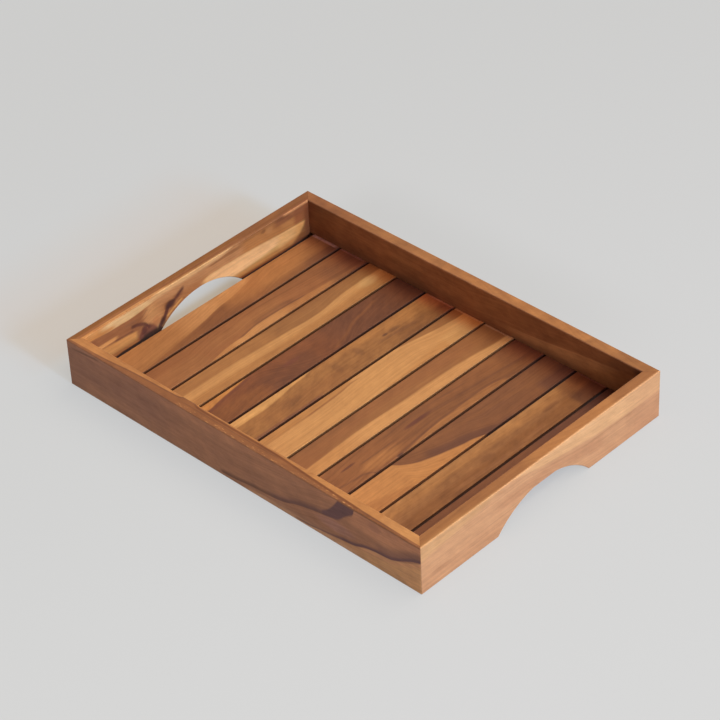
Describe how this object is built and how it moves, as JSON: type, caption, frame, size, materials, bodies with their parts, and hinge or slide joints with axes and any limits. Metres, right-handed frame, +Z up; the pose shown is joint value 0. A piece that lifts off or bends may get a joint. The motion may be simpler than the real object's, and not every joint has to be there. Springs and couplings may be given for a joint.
{
  "type": "tray",
  "caption": "Rectangular slatted teak serving tray: mitred frame, tongued floor slats and an arched hand hold cut into each end board.",
  "frame": {"origin": "centre of the underside, on the surface that the tray stands on", "axes": "+X along the tray's length towards one arched end board, +Y across the tray, +Z up"},
  "size_m": [0.4, 0.288, 0.047],
  "materials": {
    "board_brown": "oiled satin teak",
    "board_amber": "oiled satin teak",
    "board_figured": "oiled satin teak",
    "board_pale": "oiled satin teak",
    "slat_golden": "oiled satin teak",
    "slat_amber": "oiled satin teak",
    "slat_brown": "oiled satin teak",
    "slat_dark": "oiled satin teak",
    "spline_teak": "sawn and glued, hidden",
    "brad_steel": "plain"
  },
  "bodies": {
    "root": {"front_board": "board_brown", "back_board": "board_amber", "left_end_board": "board_figured", "right_end_board": "board_pale", "slat_1": "slat_amber", "slat_2": "slat_brown", "slat_3": "slat_golden", "slat_4": "slat_dark", "slat_5": "slat_amber", "slat_6": "slat_golden", "slat_7": "slat_brown", "slat_8": "slat_brown", "slat_9": "slat_dark", "slat_10": "slat_amber", "slat_11": "slat_dark", "spline_front_left": "spline_teak", "spline_front_right": "spline_teak", "spline_back_left": "spline_teak", "spline_back_right": "spline_teak", "slat_brads": "brad_steel"}
  },
  "joints": []
}
